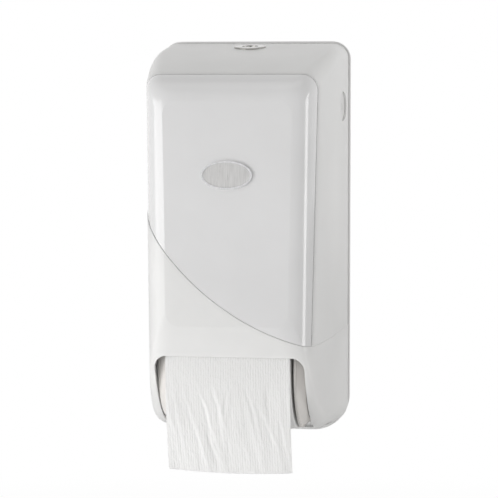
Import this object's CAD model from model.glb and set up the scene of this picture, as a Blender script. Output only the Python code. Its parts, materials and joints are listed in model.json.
"""Dresses the two-roll toilet paper dispenser: materials, paper rolls, hanging paper, light and camera."""

import json
import math

import bmesh
import bpy
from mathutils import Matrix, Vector, noise


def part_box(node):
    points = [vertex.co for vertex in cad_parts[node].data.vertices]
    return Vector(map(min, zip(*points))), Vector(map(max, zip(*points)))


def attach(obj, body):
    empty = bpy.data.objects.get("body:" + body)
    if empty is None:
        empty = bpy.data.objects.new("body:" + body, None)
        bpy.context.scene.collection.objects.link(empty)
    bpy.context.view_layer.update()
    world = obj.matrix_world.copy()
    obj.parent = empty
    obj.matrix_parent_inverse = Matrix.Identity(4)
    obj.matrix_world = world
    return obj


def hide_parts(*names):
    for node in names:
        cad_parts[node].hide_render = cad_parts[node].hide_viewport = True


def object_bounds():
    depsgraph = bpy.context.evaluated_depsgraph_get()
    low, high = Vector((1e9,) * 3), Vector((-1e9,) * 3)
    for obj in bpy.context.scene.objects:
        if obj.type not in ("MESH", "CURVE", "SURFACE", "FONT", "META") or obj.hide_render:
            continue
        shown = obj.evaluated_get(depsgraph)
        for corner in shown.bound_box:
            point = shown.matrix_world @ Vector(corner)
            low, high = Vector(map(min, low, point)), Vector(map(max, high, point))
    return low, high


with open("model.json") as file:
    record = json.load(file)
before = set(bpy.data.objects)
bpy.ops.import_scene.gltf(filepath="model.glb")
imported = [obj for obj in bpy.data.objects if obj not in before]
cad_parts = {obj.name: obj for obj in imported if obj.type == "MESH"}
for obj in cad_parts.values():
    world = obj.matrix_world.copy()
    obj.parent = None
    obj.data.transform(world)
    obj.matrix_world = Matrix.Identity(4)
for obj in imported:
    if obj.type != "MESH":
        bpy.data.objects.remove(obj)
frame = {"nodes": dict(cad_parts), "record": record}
cad_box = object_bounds()

MM = 0.001

# Camera, from the photograph
CAMERA_AZIMUTH = 9.7
CAMERA_ELEVATION = 4.4
CAMERA_DISTANCE = 1.72
CAMERA_TARGET = Vector((0.0176, -0.145, 0.0))
FRONT_SCALE = 1280.0
IMAGE_WIDTH = 498.0
SENSOR_WIDTH = 36.0
CLIP_START = 0.01

# Plastic: fineness of its textures and depth of its glow
CLOUD_SCALE = 18.0
SMUDGE_SCALE = 34.0
GRIT_SCALE = 900.0
GLOW_DEPTH = 0.004

# Tissue: fineness and depth of its textures
RIB_PITCH = 0.0020
RIB_DISTORTION = 3.2
RIB_DEPTH = 0.0002
PUCKER_SCALE = 480.0
PUCKER_DEPTH = 0.0006
FIBRE_SCALE = 1400.0
FIBRE_DEPTH = 0.0001

# Wound rolls
ROLL_SEGMENTS = 192
ROLL_TURNS = 36
ROLL_LENGTH_STEPS = 12
ROLL_SET_IN = 0.0002
CORE_SET_OUT = 0.0001
END_SET_IN = 0.0004
END_UNEVENNESS = 0.00035
EDGE_SET_IN = 0.0012
EDGE_ROUNDING = 0.0008
ROLL_WOBBLE = 0.00015
STILL_INNER_WALL = 0.001

# Hanging paper
TAIL_COLUMNS = 160
TAIL_ROWS = 130
TAIL_THICKNESS = 0.0003
TAIL_GAP = 0.0004
TAIL_SLACK = 1.012
TAIL_EXTRA_WIDTH = 0.0014
TAIL_SHIFT = -0.0018
CUT_EDGE_WAVE = 0.0034
CUT_EDGE_DROP = 0.0010
HANG_START = 0.12
HANG_SPAN = 0.3

# Creases of the hanging paper: start across and down as shares of the sheet, lean, length and depth in mm
CREASES = [
    (0.06, 0.30, 0.06, 0.50, 0.20),
    (0.12, 0.22, 0.12, 0.50, 0.25),
    (0.20, 0.48, 0.12, 0.50, 0.35),
    (0.25, 0.22, 0.17, 0.62, 0.50),
    (0.31, 0.55, 0.12, 0.44, 0.40),
    (0.37, 0.18, 0.10, 0.46, 0.45),
    (0.42, 0.44, 0.05, 0.42, 0.30),
    (0.47, 0.26, -0.05, 0.36, 0.35),
    (0.53, 0.20, -0.09, 0.46, 0.40),
    (0.58, 0.62, 0.09, 0.34, 0.25),
    (0.64, 0.20, 0.14, 0.60, 0.42),
    (0.74, 0.42, 0.16, 0.40, 0.30),
    (0.82, 0.24, 0.03, 0.46, 0.25),
    (0.90, 0.36, 0.07, 0.52, 0.25),
]
CREASE_WIDTH = 0.014
CREASE_SOFTNESS = 0.7
CREASE_BEND = 0.012
CREASE_FADE = 0.7

# Slow waves of the hanging paper: depth in metres, waves across, lean, waves down and seed
WAVES = [
    (0.0011, 4.0, 0.0, 3.0, 2.3),
    (0.0006, 15.0, 2.5, 2.4, 5.1),
    (0.0002, 38.0, 5.0, 6.0, 1.3),
]

# Lamps: name, azimuth, height, distance, size and power
LAMPS = [
    ("key_left", -47.0, -0.30, 1.8, (1.45, 1.6), 20.6),
    ("low_left", -35.0, -0.38, 0.62, (0.7, 0.3), 1.15),
    ("top_soft", 20.0, 1.6, 0.3, (1.2, 1.2), 2.6),
    ("right_strip", 88.0, -0.2, 1.5, (0.5, 1.4), 8.0),
]
OBJECT_MIDDLE = Vector((0.0, -0.07, 0.0))
FILL_STRENGTH = 0.45

# Floor: how far below the part it lies, its half width, and where and how it fades to white
FLOOR_DROP = 0.35
FLOOR_HALF = 6.0
FLOOR_FADE_START = 0.6
FLOOR_FADE_END = 1.8
FLOOR_WHITENESS = 0.85


def new_material(name):
    """A material with a cleared tree, its Principled shader and its output."""
    material = bpy.data.materials.new(name)
    material.use_nodes = True
    tree = material.node_tree
    tree.nodes.clear()
    output = tree.nodes.new("ShaderNodeOutputMaterial")
    shader = tree.nodes.new("ShaderNodeBsdfPrincipled")
    tree.links.new(shader.outputs["BSDF"], output.inputs["Surface"])
    return material, tree, shader


def object_coordinates(tree, scale=(1, 1, 1)):
    """Object coordinates in metres, stretched by a scale."""
    source = tree.nodes.new("ShaderNodeTexCoord")
    mapping = tree.nodes.new("ShaderNodeMapping")
    mapping.inputs["Scale"].default_value = scale
    tree.links.new(source.outputs["Object"], mapping.inputs["Vector"])
    return mapping.outputs["Vector"]


def noise_texture(tree, vector, scale, detail=4.0, roughness=0.5):
    """Noise factor over a vector."""
    texture = tree.nodes.new("ShaderNodeTexNoise")
    texture.inputs["Scale"].default_value = scale
    texture.inputs["Detail"].default_value = detail
    texture.inputs["Roughness"].default_value = roughness
    tree.links.new(vector, texture.inputs["Vector"])
    return texture.outputs["Fac"]


def ramp(tree, factor, stops):
    """Colour ramp over a factor; stops are (position, grey or colour)."""
    node = tree.nodes.new("ShaderNodeValToRGB")
    elements = node.color_ramp.elements
    while len(elements) < len(stops):
        elements.new(0.5)
    for element, (position, colour) in zip(elements, stops):
        element.position = position
        if isinstance(colour, float):
            colour = (colour, colour, colour)
        element.color = (*colour, 1.0)
    tree.links.new(factor, node.inputs["Fac"])
    return node.outputs["Color"]


def bump(tree, shader, height, strength, distance, normal=None):
    """Bump on the shader's normal."""
    node = tree.nodes.new("ShaderNodeBump")
    node.inputs["Strength"].default_value = strength
    node.inputs["Distance"].default_value = distance
    tree.links.new(height, node.inputs["Height"])
    if normal is not None:
        tree.links.new(normal, node.inputs["Normal"])
    tree.links.new(node.outputs["Normal"], shader.inputs["Normal"])
    return node.outputs["Normal"]


def shade(colour, amount):
    """A colour made darker or lighter."""
    return tuple(min(1.0, c * amount) for c in colour)


def plastic(name, colour, roughness, coat=0.0, coat_roughness=0.05, grain_depth=0.00002, glow=0.0):
    """Moulded plastic with a faint mottle, a fine grain, slight smudges in its gloss and some glow inside."""
    material, tree, shader = new_material(name)
    vector = object_coordinates(tree)
    cloud = noise_texture(tree, vector, CLOUD_SCALE, 3.0)
    colours = ramp(tree, cloud, [(0.3, shade(colour, 0.98)), (0.7, shade(colour, 1.02))])
    tree.links.new(colours, shader.inputs["Base Color"])
    smudge = noise_texture(tree, vector, SMUDGE_SCALE, 5.0, 0.6)
    gloss = ramp(tree, smudge, [(0.35, roughness * 0.9), (0.75, roughness * 1.15)])
    tree.links.new(gloss, shader.inputs["Roughness"])
    shader.inputs["Coat Weight"].default_value = coat
    shader.inputs["Coat Roughness"].default_value = coat_roughness
    shader.inputs["Subsurface Weight"].default_value = glow
    shader.inputs["Subsurface Scale"].default_value = GLOW_DEPTH
    shader.inputs["Subsurface Radius"].default_value = (1.0, 1.0, 1.0)
    grit = noise_texture(tree, vector, GRIT_SCALE, 2.0)
    bump(tree, shader, grit, 0.25, grain_depth)
    return material


def metal(name, colour, roughness, brushed=(1.0, 1.0, 1.0), grain=700.0, depth=0.00001):
    """Metal with fine lines or specks, depending on how its texture is stretched."""
    material, tree, shader = new_material(name)
    vector = object_coordinates(tree, brushed)
    lines = noise_texture(tree, vector, grain, 4.0, 0.6)
    colours = ramp(tree, lines, [(0.3, shade(colour, 0.86)), (0.7, shade(colour, 1.08))])
    tree.links.new(colours, shader.inputs["Base Color"])
    gloss = ramp(tree, lines, [(0.3, roughness * 0.8), (0.7, roughness * 1.3)])
    tree.links.new(gloss, shader.inputs["Roughness"])
    shader.inputs["Metallic"].default_value = 1.0
    bump(tree, shader, lines, 0.3, depth)
    return material


def tissue(name, colour, rib_pitch):
    """Soft white tissue with fine embossed ribs across its width, puckers and loose fibres."""
    material, tree, shader = new_material(name)
    vector = object_coordinates(tree)
    wave = tree.nodes.new("ShaderNodeTexWave")
    wave.wave_type = "BANDS"
    wave.bands_direction = "X"
    wave.inputs["Scale"].default_value = 2 * math.pi / (20.0 * rib_pitch)
    wave.inputs["Distortion"].default_value = RIB_DISTORTION
    wave.inputs["Detail"].default_value = 4.0
    wave.inputs["Detail Scale"].default_value = 0.9
    tree.links.new(vector, wave.inputs["Vector"])
    fibre = noise_texture(tree, vector, FIBRE_SCALE, 5.0, 0.7)
    colours = ramp(tree, fibre, [(0.25, shade(colour, 0.96)), (0.75, shade(colour, 1.02))])
    tree.links.new(colours, shader.inputs["Base Color"])
    shader.inputs["Roughness"].default_value = 0.95
    shader.inputs["Specular IOR Level"].default_value = 0.15
    shader.inputs["Subsurface Weight"].default_value = 0.12
    shader.inputs["Subsurface Scale"].default_value = 0.002
    shader.inputs["Subsurface Radius"].default_value = (1.0, 1.0, 1.0)
    pucker = noise_texture(tree, object_coordinates(tree, (1.0, 0.5, 0.45)), PUCKER_SCALE, 3.0, 0.6)
    puckers = bump(tree, shader, pucker, 0.8, PUCKER_DEPTH)
    ribs = bump(tree, shader, wave.outputs["Fac"], 0.5, RIB_DEPTH, puckers)
    bump(tree, shader, fibre, 0.3, FIBRE_DEPTH, ribs)
    return material


def cardboard(name, colour):
    """Grey brown board with fibres and flecks."""
    material, tree, shader = new_material(name)
    vector = object_coordinates(tree, (1.0, 3.0, 3.0))
    fibre = noise_texture(tree, vector, 500.0, 6.0, 0.7)
    colours = ramp(tree, fibre, [(0.3, shade(colour, 0.8)), (0.7, shade(colour, 1.12))])
    tree.links.new(colours, shader.inputs["Base Color"])
    shader.inputs["Roughness"].default_value = 0.9
    bump(tree, shader, fibre, 0.4, 0.00008)
    return material


COVER_COLOUR = (0.80, 0.80, 0.795)
PANEL_COLOUR = (0.77, 0.77, 0.775)
PLATE_COLOUR = (0.79, 0.79, 0.785)
GREY_COLOUR = (0.80, 0.775, 0.75)
PAPER_COLOUR = (0.90, 0.90, 0.895)

MATERIALS = {
    "satin_cover": plastic("satin_cover", COVER_COLOUR, 0.42, coat=0.15, coat_roughness=0.3, glow=0.5),
    "gloss_panel": plastic("gloss_panel", PANEL_COLOUR, 0.22, coat=0.6, grain_depth=0.000005),
    "white_plastic": plastic("white_plastic", PLATE_COLOUR, 0.5),
    "grey_plastic": plastic("grey_plastic", GREY_COLOUR, 0.5, grain_depth=0.00004),
    "plug_plastic": plastic("plug_plastic", shade(COVER_COLOUR, 0.97), 0.45),
    "steel": metal("steel", (0.62, 0.62, 0.63), 0.35),
    "lock_chrome": metal("lock_chrome", (0.36, 0.355, 0.34), 0.14, grain=300.0),
    "emblem_chrome": metal("emblem_chrome", (0.70, 0.70, 0.71), 0.14, grain=300.0),
    "emblem_brushed": metal("emblem_brushed", (0.58, 0.575, 0.57), 0.34, (1.0, 1.0, 0.05), 1600.0),
    "paper": tissue("paper", PAPER_COLOUR, RIB_PITCH),
    "cardboard": cardboard("cardboard", (0.42, 0.34, 0.25)),
}

for subpart in frame["record"]["subparts"]:
    node = frame["nodes"][subpart["node"]]
    node.data.materials.clear()
    node.data.materials.append(MATERIALS[subpart["material_slot"]])


def mesh_object(name, form, slot_name, smooth=True):
    """A new object from a finished bmesh, with its material and slot."""
    mesh = bpy.data.meshes.new(name)
    bmesh.ops.recalc_face_normals(form, faces=form.faces)
    form.to_mesh(mesh)
    form.free()
    mesh.shade_smooth() if smooth else mesh.shade_flat()
    piece = bpy.data.objects.new(name, mesh)
    bpy.context.scene.collection.objects.link(piece)
    mesh.materials.append(MATERIALS[slot_name])
    return piece


def roll_profile(half, core, radius):
    """Distances along and from the axis of a roll's outline: uneven ends, soft edges and the outer turn."""
    face = []
    for turn in range(ROLL_TURNS + 1):
        share = turn / ROLL_TURNS
        sunk = END_UNEVENNESS * abs(noise.noise(Vector((turn * 1.7, 3.1, radius * 90))))
        face.append((half - END_SET_IN - sunk, core + (radius - EDGE_ROUNDING - core) * share))
    face.append((half - EDGE_SET_IN, radius))
    start = [(-along, away) for along, away in face]
    steps = range(1, ROLL_LENGTH_STEPS)
    outer = [(-half + 2 * half * step / ROLL_LENGTH_STEPS, radius) for step in steps]
    return start + outer + face[::-1]


def paper_roll(name, node, core_node, body):
    """A wound roll whose outer turn is slightly uneven and whose ends show its stepped windings."""
    low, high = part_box(node)
    core_low, core_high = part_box(core_node)
    middle = (low + high) / 2
    radius = (high.z - low.z) / 2 - ROLL_SET_IN
    core = (core_high.z - core_low.z) / 2 + CORE_SET_OUT
    form = bmesh.new()
    rings = []
    for along, away in roll_profile((high.x - low.x) / 2, core, radius):
        ring = []
        for segment in range(ROLL_SEGMENTS):
            angle = 2 * math.pi * segment / ROLL_SEGMENTS
            wobble = noise.noise(Vector((along * 40, math.cos(angle) * 3, math.sin(angle) * 3)))
            wobbles = away > core + STILL_INNER_WALL
            reach = away + (ROLL_WOBBLE * (wobble - 1.0) if wobbles else 0.0)
            place = (along, middle.y + reach * math.cos(angle), middle.z + reach * math.sin(angle))
            ring.append(form.verts.new(place))
        rings.append(ring)
    for first, second in zip(rings, rings[1:] + rings[:1]):
        for segment in range(ROLL_SEGMENTS):
            following = (segment + 1) % ROLL_SEGMENTS
            form.faces.new((first[segment], first[following], second[following], second[segment]))
    piece = mesh_object(name, form, "paper")
    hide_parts(node)
    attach(piece, body)


paper_roll("lower_paper_windings", "lower_roll_paper", "lower_roll_core", "lower_roll")
paper_roll("reserve_paper_windings", "reserve_roll_paper", "reserve_roll_core", "reserve_roll")

# The hanging paper leaves the front of the lower roll and falls towards the wall
tail_low, tail_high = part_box("paper_tail")
roll_low, roll_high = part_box("lower_roll_paper")
roll_centre = (roll_low + roll_high) / 2
tail_bend = (roll_high.z - roll_low.z) / 2 + TAIL_GAP + TAIL_THICKNESS / 2
tail_width = tail_high.x - tail_low.x + TAIL_EXTRA_WIDTH
tail_length = (tail_high.z - tail_low.z) * TAIL_SLACK


def tail_line(distance):
    """Depth and height of the paper's centre line at a distance from its top end."""
    start_angle = math.asin((tail_high.z - roll_centre.z) / tail_bend)
    wrapped = tail_bend * start_angle
    if distance < wrapped:
        angle = start_angle - distance / tail_bend
        return roll_centre.y - tail_bend * math.cos(angle), roll_centre.z + tail_bend * math.sin(angle)
    share = (distance - wrapped) / (tail_length - wrapped)
    front = roll_centre.y - tail_bend
    back = tail_high.y - 2 * TAIL_THICKNESS
    return front + (back - front) * share**2, roll_centre.z - (roll_centre.z - tail_low.z) * share


def crease_height(across, down):
    """How far the creases and the slow waves push the paper forwards, in metres."""
    hang = min(1.0, max(0.0, (down - HANG_START) / HANG_SPAN))
    height = 0.0
    for start_across, start_down, lean, length, depth in CREASES:
        along = (down - start_down) / length
        if 0.0 < along < 1.0:
            bend = CREASE_BEND * noise.noise(Vector((start_across * 9, down * 7, 0.7)))
            away = (across - start_across - lean * along - bend) / CREASE_WIDTH
            fade = math.sin(math.pi * along) ** CREASE_FADE
            height += CREASE_SOFTNESS * depth * MM * fade * away * math.exp(0.5 - 0.5 * away * away)
    for depth, waves_across, lean, waves_down, seed in WAVES:
        place = Vector((across * waves_across - down * lean, down * waves_down, seed))
        height += depth * noise.noise(place)
    return hang * height


def hanging_paper():
    """The tail as a fine sheet with its creases, its waved cut edge and a little thickness."""
    form = bmesh.new()
    grid = []
    for row in range(TAIL_ROWS + 1):
        down = row / TAIL_ROWS
        y, z = tail_line(down * tail_length)
        line = []
        for column in range(TAIL_COLUMNS + 1):
            across = column / TAIL_COLUMNS
            swell = 1.0 - math.sin(math.pi * (0.10 + 0.72 * across))
            edge = (CUT_EDGE_WAVE * swell - CUT_EDGE_DROP) * down**5
            x = tail_low.x + TAIL_SHIFT + tail_width * across
            line.append(form.verts.new((x, y - crease_height(across, down), z + edge)))
        grid.append(line)
    for upper, lower in zip(grid, grid[1:]):
        for column in range(TAIL_COLUMNS):
            form.faces.new((upper[column], upper[column + 1], lower[column + 1], lower[column]))
    piece = mesh_object("hanging_paper", form, "paper")
    thickness = piece.modifiers.new("thickness", "SOLIDIFY")
    thickness.thickness = TAIL_THICKNESS
    thickness.offset = 0.0
    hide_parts("paper_tail")
    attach(piece, "wall_unit")


hanging_paper()


def area_light(name, azimuth, height, distance, size, power):
    """A soft rectangular lamp at an azimuth from the front, which faces the object."""
    turn = math.radians(azimuth)
    place = OBJECT_MIDDLE + Vector((distance * math.sin(turn), -distance * math.cos(turn), height))
    data = bpy.data.lights.new(name, "AREA")
    data.shape = "RECTANGLE"
    data.size = size[0]
    data.size_y = size[1]
    data.energy = power
    lamp = bpy.data.objects.new(name, data)
    bpy.context.scene.collection.objects.link(lamp)
    lamp.location = place
    lamp.visible_camera = False
    lamp.rotation_euler = (OBJECT_MIDDLE - place).to_track_quat("-Z", "Y").to_euler()


def pale_floor():
    """Floor that looks nearly white to the camera, keeps the object's shadow and fades to white far away."""
    material = bpy.data.materials.new("pale_floor")
    material.use_nodes = True
    tree = material.node_tree
    tree.nodes.clear()
    output = tree.nodes.new("ShaderNodeOutputMaterial")
    diffuse = tree.nodes.new("ShaderNodeBsdfDiffuse")
    diffuse.inputs["Color"].default_value = (0.8, 0.8, 0.8, 1.0)
    white = tree.nodes.new("ShaderNodeEmission")
    path = tree.nodes.new("ShaderNodeLightPath")
    place = tree.nodes.new("ShaderNodeTexCoord")
    away = tree.nodes.new("ShaderNodeVectorMath")
    away.operation = "LENGTH"
    fade = tree.nodes.new("ShaderNodeMapRange")
    fade.inputs["From Min"].default_value = FLOOR_FADE_START
    fade.inputs["From Max"].default_value = FLOOR_FADE_END
    fade.inputs["To Min"].default_value = FLOOR_WHITENESS
    fade.inputs["To Max"].default_value = 1.0
    seen = tree.nodes.new("ShaderNodeMath")
    seen.operation = "MULTIPLY"
    mix = tree.nodes.new("ShaderNodeMixShader")
    tree.links.new(place.outputs["Object"], away.inputs[0])
    tree.links.new(away.outputs["Value"], fade.inputs["Value"])
    tree.links.new(path.outputs["Is Camera Ray"], seen.inputs[0])
    tree.links.new(fade.outputs["Result"], seen.inputs[1])
    tree.links.new(seen.outputs["Value"], mix.inputs["Fac"])
    tree.links.new(diffuse.outputs["BSDF"], mix.inputs[1])
    tree.links.new(white.outputs["Emission"], mix.inputs[2])
    tree.links.new(mix.outputs["Shader"], output.inputs["Surface"])
    form = bmesh.new()
    corners = [(-1, -1), (1, -1), (1, 1), (-1, 1)]
    form.faces.new([form.verts.new((x * FLOOR_HALF, y * FLOOR_HALF, 0.0)) for x, y in corners])
    mesh = bpy.data.meshes.new("floor")
    form.to_mesh(mesh)
    form.free()
    mesh.materials.append(material)
    floor = bpy.data.objects.new("floor", mesh)
    bpy.context.scene.collection.objects.link(floor)
    floor.location.z = cad_box[0][2] - FLOOR_DROP


def white_world(fill_strength):
    """World that is white to the camera, to gloss and through glass, and fills the shade softly."""
    world = bpy.data.worlds.new("studio")
    bpy.context.scene.world = world
    world.use_nodes = True
    tree = world.node_tree
    tree.nodes.clear()
    output = tree.nodes.new("ShaderNodeOutputWorld")
    path = tree.nodes.new("ShaderNodeLightPath")
    seen = path.outputs["Is Camera Ray"]
    for ray in ("Is Glossy Ray", "Is Transmission Ray"):
        either = tree.nodes.new("ShaderNodeMath")
        either.operation = "MAXIMUM"
        tree.links.new(seen, either.inputs[0])
        tree.links.new(path.outputs[ray], either.inputs[1])
        seen = either.outputs["Value"]
    fill = tree.nodes.new("ShaderNodeBackground")
    fill.inputs["Color"].default_value = (1.0, 0.99, 0.975, 1.0)
    fill.inputs["Strength"].default_value = fill_strength
    white = tree.nodes.new("ShaderNodeBackground")
    white.inputs["Color"].default_value = (1.0, 1.0, 1.0, 1.0)
    white.inputs["Strength"].default_value = 1.0
    mix = tree.nodes.new("ShaderNodeMixShader")
    tree.links.new(seen, mix.inputs["Fac"])
    tree.links.new(fill.outputs["Background"], mix.inputs[1])
    tree.links.new(white.outputs["Background"], mix.inputs[2])
    tree.links.new(mix.outputs["Shader"], output.inputs["Surface"])


pale_floor()
white_world(FILL_STRENGTH)
for lamp in LAMPS:
    area_light(*lamp)

azimuth = math.radians(CAMERA_AZIMUTH)
elevation = math.radians(CAMERA_ELEVATION)
away = Vector(
    (
        math.sin(azimuth) * math.cos(elevation),
        -math.cos(azimuth) * math.cos(elevation),
        math.sin(elevation),
    )
)
camera_data = bpy.data.cameras.new("camera")
camera_data.sensor_width = SENSOR_WIDTH
camera_data.lens = FRONT_SCALE * CAMERA_DISTANCE / IMAGE_WIDTH * SENSOR_WIDTH
camera_data.clip_start = CLIP_START
camera = bpy.data.objects.new("camera", camera_data)
bpy.context.scene.collection.objects.link(camera)
camera.location = CAMERA_TARGET + away * CAMERA_DISTANCE
camera.rotation_euler = (-away).to_track_quat("-Z", "Y").to_euler()
bpy.context.scene.camera = camera

bpy.context.scene.view_settings.view_transform = "Standard"
